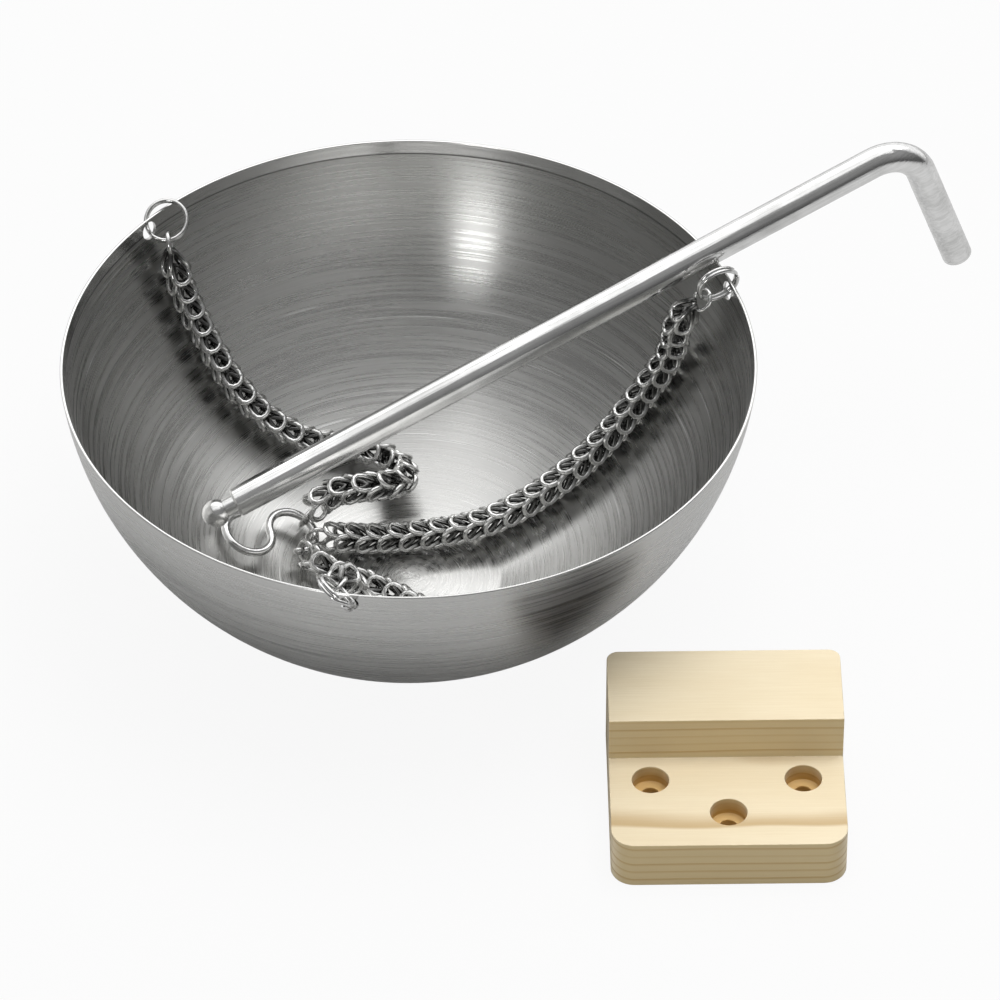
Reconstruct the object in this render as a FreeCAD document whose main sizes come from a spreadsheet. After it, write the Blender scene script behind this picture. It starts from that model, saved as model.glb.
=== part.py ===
import FreeCAD, Part
import math
import os

import Sketcher

# Hanging melting bowl, stowed: a round steel bowl with three chains on split rings, an S-hook, a swing
# arm and a wooden wall block. Frame: origin at the centre of the bowl's flat base, +Z up, +Y away.

Vector = FreeCAD.Vector
Rotation = FreeCAD.Rotation
Placement = FreeCAD.Placement

# Driving dimensions in millimetres and degrees.
SIZES = {
    # bowl
    "bowl_diameter": 180.0,
    "bowl_height": 77.0,
    "base_diameter": 48.0,
    "bowl_wall": 0.8,
    "rim_round": 0.3,
    "ring_hole_diameter": 5.0,
    "ring_hole_drop": 3.2,
    "ring_count": 3,
    "first_ring_azimuth": 140.0,
    # split rings
    "ring_diameter": 12.0,
    "ring_wire": 1.1,
    "ring_coil_pitch": 1.0,
    # chains
    "chain_width": 7.8,
    "link_wire": 1.1,
    "link_bore": 4.6,
    "link_gap": 0.4,
    "link_reach": 1.6,
    "chain_lead": 7.0,
    # S-hook
    "hook_wire": 2.2,
    "hook_bow_radius": 6.5,
    "hook_closed_sweep": 275.0,
    "hook_open_sweep": 260.0,
    # swing arm
    "arm_diameter": 8.0,
    "arm_length": 209.0,
    "arm_leg": 45.5,
    "arm_bend_radius": 11.0,
    "arm_neck_diameter": 5.0,
    "arm_neck_length": 2.5,
    "arm_knob_diameter": 7.4,
    "arm_chamfer": 0.6,
    # wall block
    "block_width": 60.0,
    "block_plate_height": 32.0,
    "block_head_height": 26.0,
    "block_plate_thickness": 14.0,
    "block_step": 13.0,
    "screw_spacing": 39.0,
    "screw_row": 24.0,
    "lower_screw_row": 12.0,
    "screw_hole": 4.5,
    "screw_head_hole": 9.5,
    "screw_head_depth": 5.0,
    "arm_bore_clearance": 0.4,
    "arm_bore_depth": 22.0,
    "block_corner_round": 6.0,
    "block_head_round": 3.0,
}

# Where the loose pieces lie (positions in mm, directions as unit vectors once normalised).
# Each ring: its hole's place in the pattern, its centre from the hole's middle, and its normal.
RING_POSES = {
    1: (0, Vector(5.5140, 1.1491, 1.7700), Vector(0.101, 0.567, -0.818)),
    2: (2, Vector(-3.7623, -2.4418, 4.0200), Vector(-0.4, 0.897, 0.185)),
    3: (1, Vector(-2.9717, -0.0673, 4.1000), Vector(-0.669, -0.343, -0.659)),
}
# Where on its ring each chain hangs: the way from the ring's centre, and the lift out of its plane.
RING_CHAIN_EXITS = {
    1: (Vector(0.117, -0.823, -0.556), 45.0),
    2: (Vector(-0.642, -0.13, -0.755), 12.0),
    3: (Vector(0.05, 0.88, -0.5), -5.0),
}
HOOK_CENTRE = Vector(-31.3, 9.7, 9.1)
HOOK_NORMAL = Vector(0.368, -0.1145, 0.923)
HOOK_AXIS = Vector(0.879, 0.365, -0.305)
# Angle round the closed bow, in its plane, and lift out of it, at which each chain leaves.
HOOK_CHAIN_EXITS = {1: (36.0, 54.0), 2: (-17.0, 16.0), 3: (-76.0, 18.0)}
# The arm leans over the rim: its heading, how far its line passes from the bowl's axis, how far the
# tip lies inside the far rim, and how high the tip is over the wall and the bar's underside over the rim.
ARM_AZIMUTH = 19.25
ARM_OFFSET = 10.0618
ARM_TIP_INSET = 35.7515
ARM_TIP_LIFT = 13.7150
ARM_RIM_LIFT = 0.6347
BLOCK_PLACE = Vector(80.0, -115.0, 0.0)

# Routes of the three chains between their end links, rim end first.
CHAIN_ROUTES = {
    1: [(-57, 52, 49), (-46, 42.5, 29.5), (-30, 37.5, 17), (-14, 39, 13), (-2.5, 33, 12.5),
        (-1.0, 21.5, 15.6), (-11, 16, 19)],
    2: [(70, 33, 51), (61, 31, 36.1), (50.5, 26, 23.5), (36.5, 20.5, 12.8), (21, 15.5, 6.2),
        (5, 12, 5.4), (-9, 10.5, 5.4)],
    3: [(-15, -72.5, 66.5), (-11, -72, 51), (0, -66.5, 34.5), (9, -52, 20.8), (11, -34, 10.6),
        (4, -19.5, 6.2), (-6, -10, 5.4), (-15, -5, 5.4)],
}


def make_sheet(doc):
    sheet = doc.addObject("Spreadsheet::Sheet", "sizes")
    for row, (name, value) in enumerate(SIZES.items(), start=1):
        sheet.set(f"A{row}", name)
        sheet.set(f"B{row}", str(value))
        sheet.setAlias(f"B{row}", name)
    doc.recompute()
    return sheet


def bind(thing, **expressions):
    for path, expression in expressions.items():
        thing.setExpression(path.replace("__", "."), expression)


def plane(body, role):
    return next(o for o in body.Origin.OriginFeatures if o.Role == role)


def new_sketch(body, name, role, offset=None):
    sketch = body.newObject("Sketcher::SketchObject", name)
    sketch.AttachmentSupport = [(plane(body, role), "")]
    sketch.MapMode = "FlatFace"
    if offset:
        sketch.setExpression("AttachmentOffset.Base.z", offset)
    return sketch


def fix(sketch, kind, *args, expression):
    """Adds a dimension to a sketch and ties it to the sheet."""
    index = sketch.addConstraint(Sketcher.Constraint(kind, *args, 1.0))
    sketch.setExpression(f"Constraints[{index}]", expression)


def turned_to(normal, axis):
    """The rotation that carries local Z to normal and local X as near as it can to axis."""
    z = Vector(normal).normalize()
    x = (axis - z * axis.dot(z)).normalize()
    return Rotation(x, z.cross(x), z, "ZXY")


# ---------------------------------------------------------------------------------------------- bowl


def bowl_radii(sheet):
    """The outer sphere's radius and the height of its centre above the table."""
    rim = sheet.bowl_diameter / 2
    base = sheet.base_diameter / 2
    height = sheet.bowl_height
    centre = (rim**2 + height**2 - base**2) / (2 * height)
    return math.hypot(base, centre), centre


def bowl_profile(body, sheet):
    """Half section: flat base, spherical wall outside and inside, flat rim."""
    outer, centre_height = bowl_radii(sheet)
    wall = sheet.bowl_wall
    rim = sheet.bowl_diameter / 2
    base = sheet.base_diameter / 2
    height = sheet.bowl_height
    inner = outer - wall
    inner_base = math.sqrt(inner**2 - (centre_height - wall) ** 2)
    inner_rim = math.sqrt(inner**2 - (centre_height - height) ** 2)
    centre = Vector(0, centre_height, 0)

    def arc(radius, start, end):
        first = math.atan2(start[1] - centre_height, start[0])
        last = math.atan2(end[1] - centre_height, end[0])
        return Part.ArcOfCircle(Part.Circle(centre, Vector(0, 0, 1), radius), first, last)

    def line(start, end):
        return Part.LineSegment(Vector(*start, 0), Vector(*end, 0))

    sketch = new_sketch(body, "bowl_profile", "XZ_Plane")
    sketch.addGeometry([
        line((0, 0), (base, 0)),
        arc(outer, (base, 0), (rim, height)),
        line((rim, height), (inner_rim, height)),
        arc(inner, (inner_base, wall), (inner_rim, height)),
        line((inner_base, wall), (0, wall)),
        line((0, wall), (0, 0)),
    ])
    constraint = Sketcher.Constraint
    sketch.addConstraint([
        constraint("Coincident", 0, 2, 1, 1),
        constraint("Coincident", 1, 2, 2, 1),
        constraint("Coincident", 2, 2, 3, 2),
        constraint("Coincident", 3, 1, 4, 1),
        constraint("Coincident", 4, 2, 5, 1),
        constraint("Coincident", 5, 2, 0, 1),
        constraint("Coincident", 0, 1, -1, 1),
        constraint("Horizontal", 0),
        constraint("Horizontal", 2),
        constraint("Horizontal", 4),
        constraint("Vertical", 5),
        constraint("PointOnObject", 1, 3, -2),
        constraint("Coincident", 3, 3, 1, 3),
    ])
    fix(sketch, "DistanceX", 0, 1, 0, 2, expression="sizes.base_diameter / 2")
    fix(sketch, "DistanceX", -1, 1, 1, 2, expression="sizes.bowl_diameter / 2")
    fix(sketch, "DistanceY", -1, 1, 1, 2, expression="sizes.bowl_height")
    fix(sketch, "DistanceX", 2, 2, 2, 1, expression="sizes.bowl_wall")
    fix(sketch, "DistanceY", 5, 2, 5, 1, expression="sizes.bowl_wall")
    return sketch


def make_bowl(doc, sheet):
    body = doc.addObject("PartDesign::Body", "bowl")
    sketch = bowl_profile(body, sheet)
    turned = body.newObject("PartDesign::Revolution", "bowl_turned")
    turned.Profile = sketch
    turned.ReferenceAxis = (sketch, ["V_Axis"])
    turned.Angle = 360
    doc.recompute()

    rim_edges = [
        f"Edge{number}"
        for number, edge in enumerate(turned.Shape.Edges, start=1)
        if abs(edge.BoundBox.ZMin - sheet.bowl_height) < 1e-6 and isinstance(edge.Curve, Part.Circle)
    ]
    rounded = body.newObject("PartDesign::Fillet", "rim_rounded")
    rounded.Base = (turned, rim_edges)
    rounded.setExpression("Radius", "sizes.rim_round")

    hole = new_sketch(body, "ring_hole_profile", "XZ_Plane")
    hole.addGeometry(Part.Circle(Vector(0, sheet.bowl_height - sheet.ring_hole_drop, 0), Vector(0, 0, 1), 1))
    hole.addConstraint(Sketcher.Constraint("PointOnObject", 0, 3, -2))
    fix(hole, "DistanceY", -1, 1, 0, 3, expression="sizes.bowl_height - sizes.ring_hole_drop")
    fix(hole, "Diameter", 0, expression="sizes.ring_hole_diameter")
    drilled = body.newObject("PartDesign::Pocket", "ring_hole")
    drilled.Profile = hole
    drilled.setExpression("Length", "sizes.bowl_diameter")
    drilled.Reversed = False
    pattern = body.newObject("PartDesign::PolarPattern", "ring_holes")
    pattern.Originals = [drilled]
    pattern.Axis = (plane(body, "Z_Axis"), [""])
    pattern.Angle = 360
    pattern.setExpression("Occurrences", "sizes.ring_count")
    body.Tip = pattern
    doc.recompute()
    body.Label = "bowl"
    # The first hole is cut on the +Y side.
    body.setExpression("Placement.Rotation.Angle", "sizes.first_ring_azimuth - 90")
    return body


# ------------------------------------------------------------------------------------- rings and links


def ring_pose(sheet, number):
    """A ring's centre and normal, from the middle of the hole that it hangs in."""
    step, offset, normal = RING_POSES[number]
    azimuth = math.radians(sheet.first_ring_azimuth + step * 360 / sheet.ring_count)
    radius = sheet.bowl_diameter / 2
    hole = Vector(radius * math.cos(azimuth), radius * math.sin(azimuth), sheet.bowl_height - sheet.ring_hole_drop)
    return hole + offset, normal


def make_rim_ring(doc, sheet, number):
    """A split ring: two turns of wire side by side."""
    coils = []
    for side in (-1, 1):
        coil = doc.addObject("Part::Torus", f"ring_{number}_coil_{'back' if side < 0 else 'front'}")
        bind(coil, Radius1="(sizes.ring_diameter - sizes.ring_wire) / 2", Radius2="sizes.ring_wire / 2",
             Placement__Base__z=f"{side} * sizes.ring_coil_pitch / 2")
        coils.append(coil)
    ring = doc.addObject("Part::MultiFuse", f"ring_{number}_fused")
    ring.Shapes = coils
    ring.Label = f"rim_ring_{number}"
    centre, normal = ring_pose(sheet, number)
    ring.Placement = Placement(centre, turned_to(normal, RING_CHAIN_EXITS[number][0]))
    return ring


def link_offset(sheet, wire):
    """How far a link's centre lies outside the middle of the wire that it hangs on."""
    return sheet.link_bore / 2 - sheet.link_gap - wire / 2


def exit_from_wire(centre, turn, radius, angle, lift):
    """The point of a round wire that a chain hangs on, the way out and the wire's direction."""
    radial = Vector(math.cos(angle), math.sin(angle), 0)
    tangent = Vector(-math.sin(angle), math.cos(angle), 0)
    outwards = radial * math.cos(lift) + Vector(0, 0, math.sin(lift))
    return centre + turn.multVec(radial) * radius, turn.multVec(outwards), turn.multVec(tangent)


def ring_exit(sheet, number):
    centre, normal = ring_pose(sheet, number)
    direction, lift = RING_CHAIN_EXITS[number]
    radius = (sheet.ring_diameter - sheet.ring_wire) / 2
    return exit_from_wire(centre, turned_to(normal, direction), radius, 0, math.radians(lift))


def hook_rotation():
    return turned_to(HOOK_NORMAL, HOOK_AXIS)


def hook_exit(sheet, number):
    angle, lift = (math.radians(a) for a in HOOK_CHAIN_EXITS[number])
    return exit_from_wire(HOOK_CENTRE, hook_rotation(), sheet.hook_bow_radius, angle, lift)


def make_end_link(doc, name, way_out, offset):
    """The last link of a chain, threaded on a ring's or the hook's wire."""
    wire_point, outwards, tangent = way_out
    link = doc.addObject("Part::Torus", f"{name}_torus")
    bind(link, Radius1="(sizes.link_bore + sizes.link_wire) / 2", Radius2="sizes.link_wire / 2")
    link.Label = name
    link.Placement = Placement(wire_point + outwards * offset, turned_to(tangent, outwards))
    return link


# ---------------------------------------------------------------------------------------------- chains


def route_wire(points):
    """Straight runs joined by tangent arcs, as one wire, with the arcs' radii."""
    edges = []
    radii = []
    last = points[0]
    for before, corner, after in zip(points, points[1:], points[2:]):
        back = before - corner
        ahead = after - corner
        run = min(back.Length, ahead.Length)
        half_turn = (math.pi - back.getAngle(ahead)) / 2
        radius = 0.45 * run / math.tan(half_turn)
        start = corner + back.normalize() * (0.45 * run)
        end = corner + ahead.normalize() * (0.45 * run)
        inwards = (back + ahead).normalize()
        middle = corner + inwards * (radius / math.cos(half_turn) - radius)
        edges.append(Part.LineSegment(last, start).toShape())
        edges.append(Part.Arc(start, middle, end).toShape())
        radii.append(radius)
        last = end
    edges.append(Part.LineSegment(last, points[-1]).toShape())
    return Part.Wire(edges), radii


def chain_points(sheet, number, ring_way, hook_way):
    """The corners of a chain's route, from just inside one end link to just inside the other."""
    ring_point, ring_out, _ = ring_way
    hook_point, hook_out, _ = hook_way
    start = ring_point + ring_out * (link_offset(sheet, sheet.ring_wire + sheet.ring_coil_pitch) + sheet.link_reach)
    end = hook_point + hook_out * (link_offset(sheet, sheet.hook_wire) + sheet.link_reach)
    leads = [start + ring_out * sheet.chain_lead, end + hook_out * sheet.chain_lead]
    return [start, leads[0], *(Vector(*p) for p in CHAIN_ROUTES[number]), leads[1], end]


def make_chain(doc, sheet, number, ring_way, hook_way):
    """The outer shape of a chain as one tube between its two end links."""
    points = chain_points(sheet, number, ring_way, hook_way)
    wire, radii = route_wire(points)
    radius = sheet.chain_width / 2
    circle = Part.Circle(points[0], points[1] - points[0], radius).toShape()
    tube = wire.makePipeShell([Part.Wire([circle])], True, False)
    expected = math.pi * radius**2 * wire.Length
    if abs(tube.Volume - expected) > 0.01 * expected:
        raise ValueError(f"chain_{number}: the tube's volume is not its section times its length")
    chain = doc.addObject("Part::Feature", f"chain_{number}")
    chain.Shape = tube
    print(f"chain_{number}: {wire.Length:.1f} mm, radii", [round(r, 1) for r in radii])
    return chain


# ------------------------------------------------------------------------------------------- S-hook


def make_s_hook(doc):
    """Two bows of round wire: a nearly closed one for the chains and an open one for the arm."""
    closed = doc.addObject("Part::Torus", "closed_bow")
    bind(closed, Radius1="sizes.hook_bow_radius", Radius2="sizes.hook_wire / 2",
         Angle3="sizes.hook_closed_sweep", Placement__Rotation__Angle="180 - sizes.hook_closed_sweep")
    opened = doc.addObject("Part::Torus", "open_bow")
    bind(opened, Radius1="sizes.hook_bow_radius", Radius2="sizes.hook_wire / 2",
         Angle3="sizes.hook_open_sweep", Placement__Rotation__Angle="-sizes.hook_open_sweep",
         Placement__Base__x="-2 * sizes.hook_bow_radius")
    closed_tip = doc.addObject("Part::Sphere", "closed_tip")
    bind(closed_tip, Radius="sizes.hook_wire / 2",
         Placement__Base__x="sizes.hook_bow_radius * cos(180deg - sizes.hook_closed_sweep * 1deg)",
         Placement__Base__y="sizes.hook_bow_radius * sin(180deg - sizes.hook_closed_sweep * 1deg)")
    open_tip = doc.addObject("Part::Sphere", "open_tip")
    bind(open_tip, Radius="sizes.hook_wire / 2",
         Placement__Base__x="sizes.hook_bow_radius * (cos(-sizes.hook_open_sweep * 1deg) - 2)",
         Placement__Base__y="sizes.hook_bow_radius * sin(-sizes.hook_open_sweep * 1deg)")
    hook = doc.addObject("Part::MultiFuse", "s_hook_fused")
    hook.Shapes = [closed, opened, closed_tip, open_tip]
    hook.Label = "s_hook"
    hook.Placement = Placement(HOOK_CENTRE, hook_rotation())
    return hook


# ---------------------------------------------------------------------------------------- swing arm


def arm_placement(sheet):
    """Where the bar lies: its knob inside the bowl and its line just over the rim."""
    heading = Vector(math.cos(math.radians(ARM_AZIMUTH)), math.sin(math.radians(ARM_AZIMUTH)), 0)
    sideways = Vector(-heading.y, heading.x, 0)
    rim_along = math.sqrt((sheet.bowl_diameter / 2) ** 2 - ARM_OFFSET**2)
    tip_along = ARM_TIP_INSET - rim_along
    tip = heading * tip_along + sideways * ARM_OFFSET
    outer, centre_height = bowl_radii(sheet)
    wall_height = centre_height - math.sqrt((outer - sheet.bowl_wall) ** 2 - tip.Length**2)
    tip.z = wall_height + ARM_TIP_LIFT
    rim_height = sheet.bowl_height + ARM_RIM_LIFT
    slope = 0.0
    for _ in range(20):
        rise = rim_height + sheet.arm_diameter / 2 / math.cos(slope) - tip.z
        slope = math.atan2(rise, rim_along - tip_along)
    turn = Rotation(Vector(0, 0, 1), ARM_AZIMUTH) * Rotation(Vector(0, 1, 0), -math.degrees(slope))
    return Placement(tip, turn)


def make_swing_arm(doc, sheet):
    """A round bar with a turned neck and ball knob at one end and a bent-down leg at the other."""

    def along_x(kind, name, start, **expressions):
        solid = doc.addObject(kind, name)
        solid.Placement = Placement(Vector(), Rotation(Vector(0, 1, 0), 90))
        bind(solid, Placement__Base__x=start, **expressions)
        return solid

    radius = "sizes.arm_diameter / 2"
    small = "sizes.arm_diameter / 2 - sizes.arm_chamfer"
    shoulder = "sizes.arm_knob_diameter + sizes.arm_neck_length - sizes.arm_chamfer"
    knob = doc.addObject("Part::Sphere", "knob")
    bind(knob, Radius="sizes.arm_knob_diameter / 2", Placement__Base__x="sizes.arm_knob_diameter / 2")
    neck = along_x("Part::Cylinder", "neck", "sizes.arm_knob_diameter / 2",
                   Radius="sizes.arm_neck_diameter / 2",
                   Height="sizes.arm_knob_diameter / 2 + sizes.arm_neck_length")
    cone = along_x("Part::Cone", "shoulder", shoulder, Radius1=small, Radius2=radius,
                   Height="sizes.arm_chamfer")
    bar = along_x("Part::Cylinder", "bar", "sizes.arm_knob_diameter + sizes.arm_neck_length", Radius=radius,
                  Height="sizes.arm_length - sizes.arm_bend_radius - sizes.arm_knob_diameter"
                         " - sizes.arm_neck_length")
    bend = doc.addObject("Part::Torus", "bend")
    bend.Placement = Placement(Vector(), Rotation(Vector(1, 0, 0), 90))
    bind(bend, Radius1="sizes.arm_bend_radius", Radius2=radius, Angle3="90",
         Placement__Base__x="sizes.arm_length - sizes.arm_bend_radius",
         Placement__Base__z="-sizes.arm_bend_radius")
    leg = doc.addObject("Part::Cylinder", "leg")
    bind(leg, Radius=radius, Height="sizes.arm_leg - sizes.arm_bend_radius - sizes.arm_chamfer",
         Placement__Base__x="sizes.arm_length", Placement__Base__z="sizes.arm_chamfer - sizes.arm_leg")
    leg_end = doc.addObject("Part::Cone", "leg_end")
    bind(leg_end, Radius1=small, Radius2=radius, Height="sizes.arm_chamfer",
         Placement__Base__x="sizes.arm_length", Placement__Base__z="-sizes.arm_leg")
    arm = doc.addObject("Part::MultiFuse", "swing_arm_fused")
    arm.Shapes = [knob, neck, cone, bar, bend, leg, leg_end]
    arm.Label = "swing_arm"
    arm.Placement = arm_placement(sheet)
    return arm


# --------------------------------------------------------------------------------------- wall block


def block_profile(body, sheet):
    """Side view: a plate with a thick head, drawn on the YZ plane with the back at the bottom."""
    top = sheet.block_plate_height + sheet.block_head_height
    step = sheet.block_plate_height
    plate = sheet.block_plate_thickness
    full = plate + sheet.block_step
    corners = [(0, 0), (top, 0), (top, full), (step, full), (step, plate), (0, plate)]
    sketch = new_sketch(body, "block_profile", "YZ_Plane")
    for start, end in zip(corners, corners[1:] + corners[:1]):
        sketch.addGeometry(Part.LineSegment(Vector(*start, 0), Vector(*end, 0)))
    count = len(corners)
    for side in range(count):
        sketch.addConstraint(Sketcher.Constraint("Coincident", side, 2, (side + 1) % count, 1))
        sketch.addConstraint(Sketcher.Constraint("Vertical" if side % 2 else "Horizontal", side))
    sketch.addConstraint(Sketcher.Constraint("Coincident", 0, 1, -1, 1))
    fix(sketch, "DistanceX", 0, 1, 0, 2, expression="sizes.block_plate_height + sizes.block_head_height")
    fix(sketch, "DistanceY", 1, 1, 1, 2, expression="sizes.block_plate_thickness + sizes.block_step")
    fix(sketch, "DistanceX", 2, 2, 2, 1, expression="sizes.block_head_height")
    fix(sketch, "DistanceY", 3, 2, 3, 1, expression="sizes.block_step")
    return sketch


def screw_centres(sheet):
    half = sheet.screw_spacing / 2
    return [
        (-half, sheet.screw_row, "-sizes.screw_spacing / 2", "sizes.screw_row"),
        (half, sheet.screw_row, "sizes.screw_spacing / 2", "sizes.screw_row"),
        (0.0, sheet.lower_screw_row, None, "sizes.lower_screw_row"),
    ]


def cut_circles(body, sheet, name, diameter, depth, start):
    """Three round pockets from the height start downwards."""
    sketch = new_sketch(body, f"{name}_profile", "XY_Plane", start)
    for index, (x, y, x_expression, y_expression) in enumerate(screw_centres(sheet)):
        sketch.addGeometry(Part.Circle(Vector(x, y, 0), Vector(0, 0, 1), 1))
        fix(sketch, "Diameter", index, expression=diameter)
        fix(sketch, "DistanceY", -1, 1, index, 3, expression=y_expression)
        if x_expression is None:
            sketch.addConstraint(Sketcher.Constraint("PointOnObject", index, 3, -2))
        else:
            fix(sketch, "DistanceX", -1, 1, index, 3, expression=x_expression)
    pocket = body.newObject("PartDesign::Pocket", name)
    pocket.Profile = sketch
    pocket.setExpression("Length", depth)
    return pocket


def round_edges(doc, body, base, name, radius, wanted):
    edges = [f"Edge{n}" for n, edge in enumerate(base.Shape.Edges, start=1) if wanted(edge)]
    rounded = body.newObject("PartDesign::Fillet", name)
    rounded.Base = (base, edges)
    rounded.setExpression("Radius", radius)
    doc.recompute()
    return rounded


def make_wall_block(doc, sheet):
    body = doc.addObject("PartDesign::Body", "wall_block")
    pad = body.newObject("PartDesign::Pad", "block_pad")
    pad.Profile = block_profile(body, sheet)
    pad.Midplane = True
    pad.setExpression("Length", "sizes.block_width")
    doc.recompute()

    top = sheet.block_plate_height + sheet.block_head_height

    def upright_at(edge, height):
        box = edge.BoundBox
        return box.ZLength > 1 and box.YLength < 1e-6 and abs(box.YMin - height) < 1e-6

    rounded = round_edges(doc, body, pad, "plate_corners", "sizes.block_corner_round",
                          lambda edge: upright_at(edge, 0))
    rounded = round_edges(doc, body, rounded, "head_corners", "sizes.block_head_round",
                          lambda edge: upright_at(edge, top))

    plate = "sizes.block_plate_thickness"
    cut_circles(body, sheet, "screw_heads", "sizes.screw_head_hole", "sizes.screw_head_depth", plate)
    cut_circles(body, sheet, "screw_holes", "sizes.screw_hole", plate, plate)

    bore_sketch = new_sketch(body, "arm_bore_profile", "XZ_Plane",
                             "-(sizes.block_plate_height + sizes.block_head_height)")
    bore_sketch.addGeometry(Part.Circle(Vector(0, 1, 0), Vector(0, 0, 1), 1))
    bore_sketch.addConstraint(Sketcher.Constraint("PointOnObject", 0, 3, -2))
    fix(bore_sketch, "DistanceY", -1, 1, 0, 3,
        expression="(sizes.block_plate_thickness + sizes.block_step) / 2")
    fix(bore_sketch, "Diameter", 0, expression="sizes.arm_diameter + sizes.arm_bore_clearance")
    bore = body.newObject("PartDesign::Pocket", "arm_bore")
    bore.Profile = bore_sketch
    bore.setExpression("Length", "sizes.arm_bore_depth")
    bore.Reversed = True
    body.Tip = bore
    body.Label = "wall_block"
    body.Placement = Placement(BLOCK_PLACE, Rotation())
    doc.recompute()
    return body


# -------------------------------------------------------------------------------------- whole object


def build():
    doc = FreeCAD.newDocument("melting_bowl")
    sheet = make_sheet(doc)
    nodes = [make_bowl(doc, sheet)]
    for number in CHAIN_ROUTES:
        ring_way = ring_exit(sheet, number)
        hook_way = hook_exit(sheet, number)
        nodes.append(make_rim_ring(doc, sheet, number))
        nodes.append(make_end_link(doc, f"chain_{number}_rim_link", ring_way,
                                   link_offset(sheet, sheet.ring_wire + sheet.ring_coil_pitch)))
        nodes.append(make_chain(doc, sheet, number, ring_way, hook_way))
        nodes.append(make_end_link(doc, f"chain_{number}_hook_link", hook_way,
                                   link_offset(sheet, sheet.hook_wire)))
    nodes.append(make_s_hook(doc))
    nodes.append(make_swing_arm(doc, sheet))
    nodes.append(make_wall_block(doc, sheet))
    doc.recompute()
    return doc, nodes


def check(doc, nodes):
    for thing in doc.Objects:
        if "Invalid" in thing.State or "Error" in thing.State:
            raise ValueError(f"{thing.Label} failed to compute")
    for node in nodes:
        if node.Shape.isNull() or not node.Shape.isValid():
            raise ValueError(f"{node.Label} has no valid shape")


def write(nodes):
    os.makedirs("parts", exist_ok=True)
    for node in nodes:
        node.Shape.exportStep(f"parts/{node.Label}.step")


document, sub_parts = build()
check(document, sub_parts)
write(sub_parts)
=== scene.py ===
"""A stowed hanging bowl: steel bowl, three wheat chains, S-hook, swing arm and wall block."""

import logging
import math
from dataclasses import dataclass, field
from enum import Enum
from typing import Sequence

import bmesh
import bpy
from mathutils import Matrix, Vector


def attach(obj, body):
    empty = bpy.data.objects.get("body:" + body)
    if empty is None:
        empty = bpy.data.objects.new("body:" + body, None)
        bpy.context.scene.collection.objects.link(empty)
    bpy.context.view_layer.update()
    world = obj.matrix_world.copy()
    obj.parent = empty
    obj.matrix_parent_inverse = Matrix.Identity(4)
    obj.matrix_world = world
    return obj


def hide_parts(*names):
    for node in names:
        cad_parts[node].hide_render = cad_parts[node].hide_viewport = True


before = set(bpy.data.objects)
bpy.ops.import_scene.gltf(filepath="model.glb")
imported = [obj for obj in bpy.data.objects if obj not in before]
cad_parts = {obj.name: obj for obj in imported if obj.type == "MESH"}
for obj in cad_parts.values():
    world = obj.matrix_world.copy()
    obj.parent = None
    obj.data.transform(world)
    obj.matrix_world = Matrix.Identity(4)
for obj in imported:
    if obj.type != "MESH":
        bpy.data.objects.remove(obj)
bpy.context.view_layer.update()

log = logging.getLogger("hanging_bowl")
Point = tuple[float, float, float]
Socket = bpy.types.NodeSocket
Operand = float | Socket
RIM_HEIGHT = 0.077
SMOOTH_LIMIT = math.radians(40)
ORIGIN = (0.0, 0.0, 0.0)


def opaque(colour: Point) -> tuple[float, float, float, float]:
    """The colour with full alpha."""
    return (*colour, 1.0)


# ---------- node tree writing


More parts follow.
